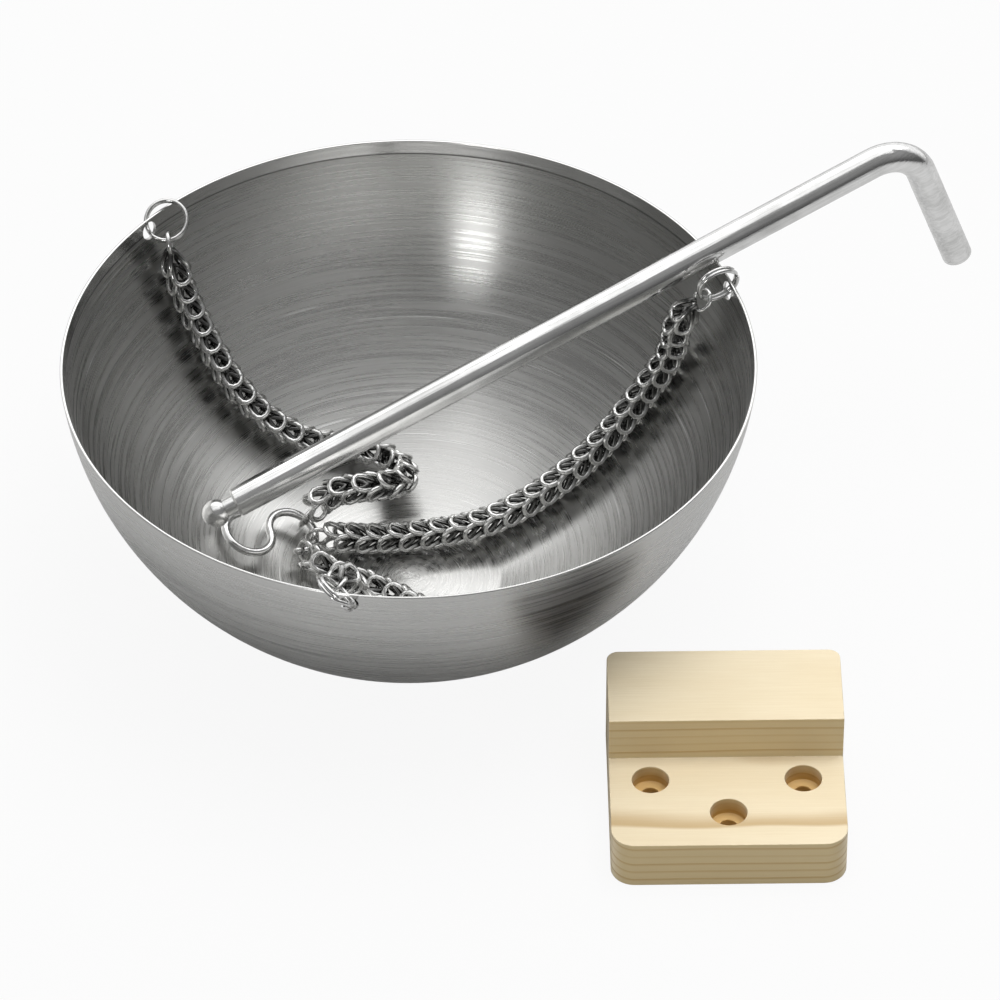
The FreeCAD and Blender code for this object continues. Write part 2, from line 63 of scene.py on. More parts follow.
class Graph:
    """Adds nodes to a shader or geometry tree with their inputs in one call."""

    def __init__(self, tree: bpy.types.NodeTree) -> None:
        """Keeps the tree that the nodes go in.

        Args:
            tree: the material's, world's or group's node tree.
        """
        self.tree = tree

    def add(self, kind: str, inputs: dict | None = None, **settings) -> bpy.types.Node:
        """Makes a node.

        Args:
            kind: the node's type name.
            inputs: socket name or index to a value or to another node's output socket.
            settings: the node's own properties.

        Returns:
            The new node.
        """
        node = self.tree.nodes.new(kind)
        for name, value in settings.items():
            setattr(node, name, value)
        for name, value in (inputs or {}).items():
            socket = node.inputs[name]
            if isinstance(value, Socket):
                self.tree.links.new(value, socket)
            else:
                socket.default_value = value
        return node

    def math(self, operation: str, first: Operand, second: Operand = 0.0,
             third: Operand = 0.0) -> Socket:
        """One step of arithmetic.

        Args:
            operation: the Math node's operation.
            first: first operand, a number or a socket.
            second: second operand.
            third: third operand, where the operation has one.

        Returns:
            The result's socket.
        """
        inputs = {0: first, 1: second, 2: third}
        return self.add("ShaderNodeMath", inputs, operation=operation).outputs[0]

    def vector(self, operation: str, first: Socket, second: Socket | Point = ORIGIN) -> Socket:
        """One step of vector arithmetic that gives a vector."""
        inputs = {0: first, 1: second}
        return self.add("ShaderNodeVectorMath", inputs, operation=operation).outputs[0]

    def measure(self, operation: str, first: Socket, second: Socket | Point = ORIGIN) -> Socket:
        """One step of vector arithmetic that gives a number."""
        inputs = {0: first, 1: second}
        return self.add("ShaderNodeVectorMath", inputs, operation=operation).outputs["Value"]

    def scaled(self, vector: Socket, factor: Operand) -> Socket:
        """The vector times a number."""
        inputs = {0: vector, "Scale": factor}
        return self.add("ShaderNodeVectorMath", inputs, operation="SCALE").outputs[0]

    def split(self, vector: Socket) -> Sequence[Socket]:
        """The vector's three parts."""
        return self.add("ShaderNodeSeparateXYZ", {0: vector}).outputs

    def join(self, x: Operand, y: Operand, z: Operand) -> Socket:
        """A vector from its three parts."""
        return self.add("ShaderNodeCombineXYZ", {0: x, 1: y, 2: z}).outputs[0]

    def coordinates(self, kind: str = "Object") -> Socket:
        """One of the Texture Coordinate node's outputs."""
        return self.add("ShaderNodeTexCoord").outputs[kind]

    def attribute(self, name: str) -> Socket:
        """A mesh attribute's value, which is 0 on a mesh without it."""
        return self.add("ShaderNodeAttribute", attribute_name=name).outputs["Fac"]

    def bump(self, height: Socket, distance: float, strength: float = 1.0) -> Socket:
        """A normal bent by a height."""
        inputs = {"Strength": strength, "Distance": distance, "Height": height}
        return self.add("ShaderNodeBump", inputs).outputs[0]

    def span(self, value: Socket, low: float, high: float,
             to_low: float = 0.0, to_high: float = 1.0) -> Socket:
        """Maps a range smoothly onto another one and clamps it.

        Args:
            value: the socket to map.
            low: the input that gives to_low.
            high: the input that gives to_high.
            to_low: result at low.
            to_high: result at high.

        Returns:
            The result's socket.
        """
        inputs = {0: value, 1: low, 2: high, 3: to_low, 4: to_high}
        return self.add("ShaderNodeMapRange", inputs, interpolation_type="SMOOTHSTEP").outputs[0]

    def noise(self, vector: Socket, scale: float, detail: float = 2.0,
              roughness: float = 0.5) -> Socket:
        """A noise texture's value.

        Args:
            vector: the coordinates.
            scale: cells per unit of the coordinates.
            detail: octaves.
            roughness: how much each octave adds.

        Returns:
            The value's socket.
        """
        inputs = {"Vector": vector, "Scale": scale, "Detail": detail, "Roughness": roughness}
        return self.add("ShaderNodeTexNoise", inputs).outputs["Fac"]

    def blend(self, factor: Operand, first: Socket | tuple, second: Socket | tuple) -> Socket:
        """Mixes two colours.

        Args:
            factor: 0 for the first, 1 for the second.
            first: a colour or a socket.
            second: a colour or a socket.

        Returns:
            The colour's socket.
        """
        inputs = {0: factor, 6: first, 7: second}
        return self.add("ShaderNodeMix", inputs, data_type="RGBA").outputs[2]


class GroupDraft:
    """A shader node group with named sockets, being filled."""

    def __init__(self, name: str, inputs: dict[str, tuple], outputs: Sequence[str]) -> None:
        """Makes the group with its sockets.

        Args:
            name: the group's name.
            inputs: socket name to (socket type, default or None).
            outputs: the names of the outputs, which are all numbers.
        """
        self.tree = bpy.data.node_groups.new(name, "ShaderNodeTree")
        for label, (kind, default) in inputs.items():
            socket = self.tree.interface.new_socket(label, in_out="INPUT", socket_type=kind)
            if default is not None:
                socket.default_value = default
        for label in outputs:
            self.tree.interface.new_socket(label, in_out="OUTPUT", socket_type="NodeSocketFloat")
        self.graph = Graph(self.tree)
        self.given = {s.name: s for s in self.graph.add("NodeGroupInput").outputs}
        self.end = self.graph.add("NodeGroupOutput")

    def give(self, label: str, value: Socket) -> None:
        """Sends a value to one of the group's outputs."""
        self.tree.links.new(value, self.end.inputs[label])


def ring_brushing_group() -> bpy.types.NodeTree:
    """Fine lines around the Z axis on a spherical wall, as a turned and brushed bowl has them.

    Returns:
        The group, with outputs Lines, Scratches and Cloud, each 0 to 1.
    """
    draft = GroupDraft(
        "ring_brushing",
        {"Centre Height": ("NodeSocketFloat", 0.087), "Line Width": ("NodeSocketFloat", 0.0004),
         "Seed": ("NodeSocketFloat", 0.0)},
        ("Lines", "Scratches", "Cloud"),
    )
    graph, given = draft.graph, draft.given
    wall_radius = 0.09
    cloud_scale = 22.0
    place = graph.coordinates()
    x, y, z = graph.split(place)
    flat = graph.join(x, y, 0.0)
    reach = graph.measure("LENGTH", flat)
    around = graph.split(graph.vector("NORMALIZE", flat))
    latitude = graph.math("ARCTAN2", reach, graph.math("SUBTRACT", given["Centre Height"], z))
    rows = graph.math("DIVIDE", graph.math("MULTIPLY", latitude, wall_radius), given["Line Width"])

    def streaks(turns: float, density: float, offset: float, detail: float) -> Socket:
        """Noise drawn out around the axis.

        Args:
            turns: cells around the axis.
            density: cells to each line width along the wall.
            offset: a shift that makes each set its own.
            detail: octaves.

        Returns:
            The noise's socket.
        """
        first = graph.math("MULTIPLY", around[0], turns)
        second = graph.math("MULTIPLY_ADD", around[1], turns, given["Seed"])
        third = graph.math("MULTIPLY_ADD", rows, density, offset)
        return graph.noise(graph.join(first, second, third), 1.0, detail, 0.6)

    fine = streaks(2.6, 1.0, 3.0, 2.0)
    medium = streaks(1.1, 0.3, 17.0, 2.0)
    rare = streaks(1.7, 0.5, 41.0, 1.0)
    mixed = graph.math("MULTIPLY_ADD", medium, 0.55, graph.math("MULTIPLY", fine, 0.45))
    draft.give("Lines", graph.span(mixed, 0.33, 0.67))
    draft.give("Scratches", graph.span(rare, 0.69, 0.78))
    draft.give("Cloud", graph.noise(place, cloud_scale, 3.0))
    return draft.tree


def handling_group() -> bpy.types.NodeTree:
    """Smudges and hair scratches on polished wire and bar.

    Returns:
        The group, with outputs Smudge and Hairline, each 0 to 1.
    """
    draft = GroupDraft(
        "handling",
        {"Smudge Size": ("NodeSocketFloat", 0.012), "Draw Direction": ("NodeSocketVector", None),
         "Seed": ("NodeSocketFloat", 0.0)},
        ("Smudge", "Hairline"),
    )
    graph, given = draft.graph, draft.given
    across_scale = 1600.0
    along_scale = 35.0
    moved = graph.vector("ADD", graph.coordinates(), given["Seed"])
    spots = graph.scaled(moved, graph.math("DIVIDE", 1.0, given["Smudge Size"]))
    draft.give("Smudge", graph.span(graph.noise(spots, 1.0, 4.0, 0.6), 0.38, 0.68))
    along = graph.measure("DOT_PRODUCT", moved, given["Draw Direction"])
    lengthwise = graph.scaled(given["Draw Direction"], along)
    across = graph.scaled(graph.vector("SUBTRACT", moved, lengthwise), across_scale)
    drawn = graph.vector("ADD", across, graph.scaled(lengthwise, along_scale))
    draft.give("Hairline", graph.span(graph.noise(drawn, 1.0, 2.0, 0.6), 0.35, 0.7))
    return draft.tree


def growth_ring_group() -> bpy.types.NodeTree:
    """Growth rings around an axis that lies along X, with fibres drawn out along it.

    Returns:
        The group, with outputs Latewood, Fibre and Tone, each 0 to 1.
    """
    draft = GroupDraft(
        "growth_rings",
        {"Pith": ("NodeSocketVector", None), "Ring Width": ("NodeSocketFloat", 0.003)},
        ("Latewood", "Fibre", "Tone"),
    )
    graph, given = draft.graph, draft.given
    bend_scale = (9.0, 20.0, 20.0)
    bend_depth = 0.0042
    fibre_scale = (60.0, 2400.0, 2400.0)
    tone_scale = (14.0, 60.0, 60.0)
    year_row = (3.7, 1.1)
    place = graph.coordinates()
    bends = graph.noise(graph.vector("MULTIPLY", place, bend_scale), 1.0, 2.0)
    wobble = graph.math("SUBTRACT", bends, 0.5)
    from_pith = graph.split(graph.vector("SUBTRACT", place, given["Pith"]))
    radius = graph.measure("LENGTH", graph.join(0.0, from_pith[1], from_pith[2]))
    radius = graph.math("MULTIPLY_ADD", wobble, bend_depth, radius)
    turns = graph.math("DIVIDE", radius, given["Ring Width"])
    phase = graph.math("FRACT", turns)
    rising = graph.span(phase, 0.6, 0.92)
    falling = graph.span(phase, 0.92, 1.0, 1.0, 0.0)
    year = graph.noise(graph.join(graph.math("FLOOR", turns), *year_row), 1.7, 0.0)
    strength = graph.span(year, 0.3, 0.7, 0.35, 1.0)
    late = graph.math("MULTIPLY", graph.math("MULTIPLY", rising, falling), strength)
    draft.give("Latewood", late)
    fibres = graph.noise(graph.vector("MULTIPLY", place, fibre_scale), 1.0, 3.0, 0.65)
    draft.give("Fibre", graph.span(fibres, 0.3, 0.7))
    draft.give("Tone", graph.noise(graph.vector("MULTIPLY", place, tone_scale), 1.0, 3.0))
    return draft.tree


class Groups:
    """The shader groups that the finishes share, each built once."""

    def __init__(self) -> None:
        """Builds all three groups."""
        self.ring_brushing = ring_brushing_group()
        self.handling = handling_group()
        self.growth_rings = growth_ring_group()


# ---------- finishes


class Draft:
    """A material with one Principled shader, being filled."""

    def __init__(self, name: str) -> None:
        """Starts the material.

        Args:
            name: the material's name.
        """
        self.material = bpy.data.materials.new(name)
        self.material.use_nodes = True
        self.graph = Graph(self.material.node_tree)
        nodes = self.material.node_tree.nodes
        self.shader = next(node for node in nodes if node.type == "BSDF_PRINCIPLED")

    def place_group(self, group: bpy.types.NodeTree, **values: float | Point) -> dict[str, Socket]:
        """Puts a shared group in the material.

        Args:
            group: the group's tree.
            values: the group's inputs, with underscores for the spaces in their names.

        Returns:
            The group's outputs by name.
        """
        node = self.graph.add("ShaderNodeGroup", node_tree=group)
        for name, value in values.items():
            node.inputs[name.replace("_", " ")].default_value = value
        return {socket.name: socket for socket in node.outputs}

    def fill(self, **values: float | tuple) -> None:
        """Sets plain values on the shader's sockets, with underscores for spaces."""
        for name, value in values.items():
            self.shader.inputs[name.replace("_", " ")].default_value = value

    def link(self, **values: Socket) -> None:
        """Links sockets to the shader's sockets, with underscores for spaces."""
        for name, value in values.items():
            self.material.node_tree.links.new(value, self.shader.inputs[name.replace("_", " ")])


@dataclass(frozen=True)
class BrushedBowlSteel:
    """Stainless steel turned and brushed around the bowl's axis, smoother inside the rim, where a
    band has a painted highlight in its colour and a painted shade line along its lower edge.
    """

    groups: Groups
    name: str = "brushed_bowl_steel"
    line_width: float = 0.00032
    dark: Point = (0.53, 0.528, 0.515)
    light: Point = (0.68, 0.678, 0.665)
    scratched: Point = (0.95, 0.95, 0.94)
    polished_band_highlight: Point = (0.78, 0.78, 0.77)
    painted_groove_shade: Point = (0.16, 0.16, 0.155)
    smooth: float = 0.24
    rough: float = 0.34
    scratch_roughness: float = 0.12
    band_smoothing: float = 0.1
    anisotropy: float = 0.75
    brush_turn: float = 0.25
    relief: float = 0.000012
    centre_height: float = 0.08736
    wall_middle: float = 0.0902
    band_height: float = 0.0731
    band_edge: float = 0.0002
    groove_width: float = 0.0006
    band_step: float = 9.0

    def material(self) -> bpy.types.Material:
        """Builds the material.

        Returns:
            The bowl's material.
        """
        draft = Draft(self.name)
        graph = draft.graph
        brushing = draft.place_group(self.groups.ring_brushing, Centre_Height=self.centre_height,
                                     Line_Width=self.line_width)
        lines, scratches, cloud = (brushing[n] for n in ("Lines", "Scratches", "Cloud"))
        place = graph.coordinates()
        level = graph.split(place)[2]
        spoke = graph.measure("DISTANCE", place, (0.0, 0.0, self.centre_height))
        inside = graph.math("LESS_THAN", spoke, self.wall_middle)
        polished_band_highlight = graph.span(level, self.band_height - self.band_edge,
                          self.band_height + self.band_edge)
        polished_band_highlight = graph.math("MULTIPLY", polished_band_highlight, inside)
        below = graph.span(level, self.band_height, self.band_height + self.groove_width, 1.0, 0.0)
        painted_groove_shade = graph.math("MULTIPLY", polished_band_highlight, below)

        tone = graph.math("MULTIPLY_ADD", cloud, 0.5, graph.math("MULTIPLY", lines, 0.5))
        colour = graph.blend(tone, opaque(self.dark), opaque(self.light))
        colour = graph.blend(graph.math("MULTIPLY", scratches, 0.7), colour, opaque(self.scratched))
        # Painted highlight: the smoother band inside the rim is lighter in colour.
        colour = graph.blend(graph.math("MULTIPLY", polished_band_highlight, 0.7), colour, opaque(self.polished_band_highlight))
        # Painted shade: a dark line along the band's lower edge.
        colour = graph.blend(graph.math("MULTIPLY", painted_groove_shade, 0.85), colour, opaque(self.painted_groove_shade))

        roughness = graph.span(lines, 0.0, 1.0, self.smooth, self.rough)
        roughness = graph.math("MULTIPLY_ADD", scratches, self.scratch_roughness, roughness)
        roughness = graph.math("MULTIPLY_ADD", polished_band_highlight, -self.band_smoothing, roughness)
        height = graph.math("MULTIPLY_ADD", scratches, 1.5, lines)
        height = graph.math("MULTIPLY_ADD", polished_band_highlight, self.band_step, height)
        tangent = graph.add("ShaderNodeTangent", direction_type="RADIAL", axis="Z").outputs[0]
        draft.link(Base_Color=colour, Roughness=roughness, Normal=graph.bump(height, self.relief),
                   Tangent=tangent)
        draft.fill(Metallic=1.0, Anisotropic=self.anisotropy, Anisotropic_Rotation=self.brush_turn)
        return draft.material


@dataclass(frozen=True)
class PolishedSteel:
    """Drawn and polished stainless wire or bar, with smudges and hair scratches."""

    groups: Groups
    name: str
    colour: Point = (0.72, 0.72, 0.715)
    dull: Point = (0.52, 0.52, 0.51)
    painted_shade: Point = (0.03, 0.03, 0.028)
    smooth: float = 0.07
    rough: float = 0.2
    smudge_size: float = 0.01
    draw_direction: Point = (0.0, 0.0, 1.0)
    relief: float = 0.00001
    seed: float = 0.0
    painted_shade_strength: float = 0.0

    def material(self) -> bpy.types.Material:
        """Builds the material.

        Returns:
            The wire's or bar's material, with painted shade on the chain's inner wire where it has
            any.
        """
        draft = Draft(self.name)
        graph = draft.graph
        wear = draft.place_group(self.groups.handling, Smudge_Size=self.smudge_size,
                                 Draw_Direction=self.draw_direction, Seed=self.seed)
        smudge, hairline = wear["Smudge"], wear["Hairline"]
        shade = graph.math("MULTIPLY_ADD", hairline, 0.35, graph.math("MULTIPLY", smudge, 0.5))
        colour = graph.blend(shade, opaque(self.colour), opaque(self.dull))
        # Painted shade: the links' wire near the chain's line is darkened where the links shade
        # each other.
        if self.painted_shade_strength:
            depth = graph.span(graph.attribute("painted_inner_shade"), 0.25, 0.9, 0.0, self.painted_shade_strength)
            colour = graph.blend(depth, colour, opaque(self.painted_shade))
        roughness = graph.span(shade, 0.0, 0.85, self.smooth, self.rough)
        draft.link(Base_Color=colour, Roughness=roughness, Normal=graph.bump(hairline, self.relief))
        draft.fill(Metallic=1.0)
        return draft.material


@dataclass(frozen=True)
class PlanedSpruce:
    """Pale uncoated softwood with its fibres along X, with painted shade on its faces that look
    forward (-Y), and darker in its bores.
    """

    groups: Groups
    name: str = "planed_spruce"
    early: Point = (0.86, 0.75, 0.545)
    late: Point = (0.48, 0.31, 0.12)
    fibre_shade: Point = (0.72, 0.58, 0.36)
    painted_front_shade: Point = (0.50, 0.37, 0.15)
    bore_wall: Point = (0.58, 0.34, 0.075)
    pith: Point = (0.0, -0.075, -0.22)
    ring_width: float = 0.0026
    early_roughness: float = 0.62
    late_roughness: float = 0.48
    relief: float = 0.00006
    relief_strength: float = 0.8
    gloss: float = 0.35

    def material(self) -> bpy.types.Material:
        """Builds the material.

        Returns:
            The block's material.
        """
        draft = Draft(self.name)
        graph = draft.graph
        rings = draft.place_group(self.groups.growth_rings, Pith=self.pith,
                                  Ring_Width=self.ring_width)
        late, fibre, tone = (rings[n] for n in ("Latewood", "Fibre", "Tone"))
        # Painted shade: faces that look forward, towards -Y, are darkened by their direction.
        facing = graph.math("MULTIPLY", graph.split(graph.coordinates("Normal"))[1], -1.0)
        edge = graph.span(facing, 0.35, 0.95, 0.0, 0.62)
        shade = opaque(self.fibre_shade)
        colour = graph.blend(graph.span(tone, 0.35, 0.7, 0.0, 0.3), opaque(self.early), shade)
        colour = graph.blend(graph.math("MULTIPLY", fibre, 0.22), colour, shade)
        colour = graph.blend(edge, colour, opaque(self.painted_front_shade))
        colour = graph.blend(graph.math("MULTIPLY", late, 0.75), colour, opaque(self.late))
        # The bore walls are given a darker colour.
        bored = graph.math("MULTIPLY", graph.attribute("bored"), 0.75)
        colour = graph.blend(bored, colour, opaque(self.bore_wall))
        roughness = graph.span(late, 0.0, 1.0, self.early_roughness, self.late_roughness)
        height = graph.math("MULTIPLY_ADD", fibre, 0.5, late)
        draft.link(Base_Color=colour, Roughness=roughness,
                   Normal=graph.bump(height, self.relief, self.relief_strength))
        draft.fill(Specular_IOR_Level=self.gloss)
        return draft.material


# ---------- mesh tools


def mesh_object(name: str, mesh: bpy.types.Mesh) -> bpy.types.Object:
    """Puts a mesh in the scene as an object at the origin.

    Args:
        name: the object's name.
        mesh: its mesh.

    Returns:
        The new object.
    """
    piece = bpy.data.objects.new(name, mesh)
    bpy.context.scene.collection.objects.link(piece)
    return piece


def mesh_from(shape: bmesh.types.BMesh, name: str) -> bpy.types.Mesh:
    """Turns a finished shape into mesh data and frees it.

    Args:
        shape: the shape.
        name: the mesh's name.

    Returns:
        The new mesh.
    """
    mesh = bpy.data.meshes.new(name)
    shape.to_mesh(mesh)
    shape.free()
    return mesh


def settle(piece: bpy.types.Object) -> bpy.types.Object:
    """Turns an object with live modifiers into a plain mesh object.

    Args:
        piece: the object, which is removed.

    Returns:
        A new object of the same name with the evaluated mesh.
    """
    name = piece.name
    graph = bpy.context.evaluated_depsgraph_get()
    mesh = bpy.data.meshes.new_from_object(piece.evaluated_get(graph), depsgraph=graph)
    bpy.data.objects.remove(piece, do_unlink=True)
    mesh.name = name
    return mesh_object(name, mesh)


def shade_smooth(mesh: bpy.types.Mesh, sharp_angle: float | None = None) -> None:
    """Smooth shading, with edges over an angle kept sharp.

    Args:
        mesh: the mesh to shade.
        sharp_angle: the angle in radians, or None for no sharp edges.
    """
    mesh.shade_smooth()
    if sharp_angle is not None:
        mesh.set_sharp_from_angle(angle=sharp_angle)


def swept(rings: Sequence[tuple[Matrix, float]], sides: int) -> bpy.types.Mesh:
    """A round tube through frames whose Z is the direction of travel.

    Args:
        rings: each ring's frame and radius, in order.
        sides: points around.

    Returns:
        The mesh with capped ends, smooth shaded.
    """
    shape = bmesh.new()
    loops = []
    for frame_at, radius in rings:
        loop = []
        for side in range(sides):
            angle = 2 * math.pi * side / sides
            spoke = Vector((radius * math.cos(angle), radius * math.sin(angle), 0))
            loop.append(shape.verts.new(frame_at @ spoke))
        loops.append(loop)
    for lower, upper in zip(loops, loops[1:]):
        for side in range(sides):
            after = (side + 1) % sides
            shape.faces.new((lower[side], lower[after], upper[after], upper[side]))
    shape.faces.new(loops[0][::-1])
    shape.faces.new(loops[-1])
    mesh = mesh_from(shape, "swept")
    shade_smooth(mesh, SMOOTH_LIMIT)
    return mesh


def frames_along(points: Sequence[Vector], up: Vector) -> list[Matrix]:
    """Frames along a line of points, turned as little as possible from one to the next.

    Args:
        points: the line.
        up: a direction that is not along the line's first stretch.

    Returns:
        One frame for each point.
    """
    side = up
    result = []
    for behind, place, ahead in zip([points[0], *points], points, [*points[1:], points[-1]]):
        travel = (ahead - behind).normalized()
        side = (side - travel * side.dot(travel)).normalized()
        other = travel.cross(side)
        result.append(Matrix((side, other, travel)).transposed().to_4x4())
        result[-1].translation = place
    return result


def basis(origin: Point, x_axis: Point, z_axis: Point) -> Matrix:
    """A placement from its origin, its X direction and its Z direction.

    Args:
        origin: where the placement lies.
        x_axis: its X direction, which is squared up to Z.
        z_axis: its Z direction.

    Returns:
        The placement.
    """
    z = Vector(z_axis).normalized()
    x = Vector(x_axis)
    x = (x - z * x.dot(z)).normalized()
    placed = Matrix((x, z.cross(x), z)).transposed().to_4x4()
    placed.translation = Vector(origin)
    return placed


# ---------- wheat chains


def saddle_link_tree() -> bpy.types.NodeTree:
    """Geometry nodes that thread folded links along a line.

    Each link is a loop folded like the seam of a saddle. Every second one is turned by a quarter
    about the line, so that four rows of bows show.

    Returns:
        The node tree.
    """
    tree = bpy.data.node_groups.new("wheat_chain", "GeometryNodeTree")
    lengths = ("Pitch", "Link Length", "Half Width", "Lobe", "Waist", "Wire Radius", "Twist",
               "End Gap", "Unevenness")
    kinds = {"Geometry": "Geometry", **dict.fromkeys(lengths, "Float"), "Seed": "Int",
             "Finish": "Material"}
    for label, kind in kinds.items():
        tree.interface.new_socket(label, in_out="INPUT", socket_type=f"NodeSocket{kind}")
    tree.interface.new_socket("Geometry", in_out="OUTPUT", socket_type="NodeSocketGeometry")
    graph = Graph(tree)
    given = {socket.name: socket for socket in graph.add("NodeGroupInput").outputs}
    link_points, wire_sides, fold_power = 24, 6, 1.35

    circle = graph.add("GeometryNodeCurvePrimitiveCircle",
                       {"Resolution": link_points, "Radius": 1.0})
    factor = graph.add("GeometryNodeSplineParameter").outputs["Factor"]
    angle = graph.math("MULTIPLY", factor, 2 * math.pi)
    cosine = graph.math("COSINE", angle)
    sine = graph.math("SINE", angle)
    folded = graph.math("POWER", graph.math("ABSOLUTE", cosine), fold_power)
    lengthwise = graph.math("MULTIPLY", graph.math("SUBTRACT", folded, 0.5), given["Link Length"])
    bow = graph.math("MULTIPLY", cosine, given["Half Width"])
    open_share = graph.math("MULTIPLY", cosine, cosine)
    girth = graph.math("MULTIPLY_ADD", open_share, given["Lobe"], given["Waist"])
    place = graph.join(bow, graph.math("MULTIPLY", sine, girth), lengthwise)
    saddle = graph.add("GeometryNodeSetPosition",
                       {"Geometry": circle.outputs[0], "Position": place})
    wire = graph.add("GeometryNodeCurvePrimitiveCircle",
                     {"Resolution": wire_sides, "Radius": given["Wire Radius"]})
    # Each point's share of painted shade, highest at the link's waist near the chain's line.
    painted_shade_share = graph.math("MULTIPLY", sine, sine)
    painted_shade_store = graph.add("GeometryNodeStoreNamedAttribute",
                       {"Geometry": saddle.outputs[0], "Name": "painted_inner_shade", "Value": painted_shade_share},
                       data_type="FLOAT", domain="POINT")
    link_mesh = graph.add("GeometryNodeCurveToMesh",
                          {"Curve": painted_shade_store.outputs[0], "Profile Curve": wire.outputs[0]})

    line = graph.add("GeometryNodeMeshToCurve", {"Mesh": given["Geometry"]})
    whole = graph.add("GeometryNodeCurveLength", {"Curve": line.outputs[0]}).outputs[0]
    last = graph.math("SUBTRACT", whole, given["End Gap"])
    trimmed = graph.add("GeometryNodeTrimCurve", mode="LENGTH")
    for label, value in (("Start", given["End Gap"]), ("End", last)):
        socket = next(s for s in trimmed.inputs if s.name == label and s.enabled)
        tree.links.new(value, socket)
    tree.links.new(line.outputs[0], trimmed.inputs["Curve"])
    spaced = graph.add("GeometryNodeResampleCurve",
                       {"Curve": trimmed.outputs[0], "Length": given["Pitch"]}, mode="LENGTH")
    even = graph.add("GeometryNodeSetCurveNormal", {"Curve": spaced.outputs[0]},
                     mode="MINIMUM_TWIST")
    tangent = graph.add("GeometryNodeInputTangent").outputs[0]
    normal = graph.add("GeometryNodeInputNormal").outputs[0]
    along = graph.add("FunctionNodeAxesToRotation", {0: tangent, 1: normal}, primary_axis="Z",
                      secondary_axis="X")
    index = graph.add("GeometryNodeInputIndex").outputs[0]
    quarter = graph.math("MULTIPLY", graph.math("MODULO", index, 2.0), math.pi / 2)
    jitter = graph.add("FunctionNodeRandomValue",
                       {"ID": index, "Seed": given["Seed"], 2: -1.0, 3: 1.0}, data_type="FLOAT")
    uneven = graph.math("MULTIPLY", jitter.outputs[1], given["Unevenness"])
    turn = graph.math("ADD", graph.math("ADD", quarter, given["Twist"]), uneven)
    spin = graph.add("FunctionNodeAxisAngleToRotation", {"Axis": (0.0, 0.0, 1.0), "Angle": turn})
    placed = graph.add("FunctionNodeRotateRotation", {0: along.outputs[0], 1: spin.outputs[0]},
                       rotation_space="LOCAL")
    copies = graph.add("GeometryNodeInstanceOnPoints",
                       {"Points": even.outputs[0], "Instance": link_mesh.outputs[0],
                        "Rotation": placed.outputs[0]})
    real = graph.add("GeometryNodeRealizeInstances", {0: copies.outputs[0]})
    smooth = graph.add("GeometryNodeSetShadeSmooth", {"Geometry": real.outputs[0]})
    dressed = graph.add("GeometryNodeSetMaterial",
                        {"Geometry": smooth.outputs[0], "Material": given["Finish"]})
    graph.add("NodeGroupOutput", {0: dressed.outputs[0]})
    return tree


@dataclass
class WheatChain:
    """One of the three chains, from a rim ring's end link to the hook's end link."""

    number: int
    route: Sequence[Point]
    length: float
    twist: float
    seed: int
    pitch: float = 0.0028
    link_length: float = 0.0070
    half_width: float = 0.0032
    lobe: float = 0.0046
    waist: float = 0.001
    wire_radius: float = 0.00074
    unevenness: float = 0.07
    end_gap: float = 0.0036
    width: float = 0.0078

    def line(self) -> list[Vector]:
        """The smooth line that the links follow, read from the route's own spline.

        Returns:
            The line's points.
        """
        curve = bpy.data.curves.new(f"chain_{self.number}_route", "CURVE")
        curve.dimensions = "3D"
        curve.resolution_u = 16
        spline = curve.splines.new("NURBS")
        spline.points.add(len(self.route) - 1)
        for control, place in zip(spline.points, self.route):
            control.co = (*place, 1.0)
        spline.order_u = 3
        spline.use_endpoint_u = True
        holder = bpy.data.objects.new(curve.name, curve)
        bpy.context.scene.collection.objects.link(holder)
        mesh = bpy.data.meshes.new_from_object(holder)
        points = [vertex.co.copy() for vertex in mesh.vertices]
        bpy.data.objects.remove(holder, do_unlink=True)
        bpy.data.curves.remove(curve)
        bpy.data.meshes.remove(mesh)
        return points

    def build(self, tree: bpy.types.NodeTree, finish: bpy.types.Material) -> bpy.types.Object:
        """Args:
            tree: the link threading tree.
            finish: the wire's material.

        Returns:
            The chain as one plain mesh object.
        """
        points = self.line()
        path = bpy.data.meshes.new(f"chain_{self.number}_line")
        steps = [(step, step + 1) for step in range(len(points) - 1)]
        path.from_pydata([tuple(p) for p in points], steps, [])
        piece = mesh_object(f"wheat_chain_{self.number}", path)
        modifier = piece.modifiers.new("links", "NODES")
        modifier.node_group = tree
        # Every socket but the line itself is filled from the field of the same name.
        for item in tree.interface.items_tree:
            if item.in_out == "INPUT" and item.name != "Geometry":
                own = item.name.lower().replace(" ", "_")
                modifier[item.identifier] = finish if own == "finish" else getattr(self, own)
        piece = settle(piece)
        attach(piece, "pot")
        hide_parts(f"chain_{self.number}")
        log.info("chain %d: %d faces", self.number, len(piece.data.polygons))
        return piece


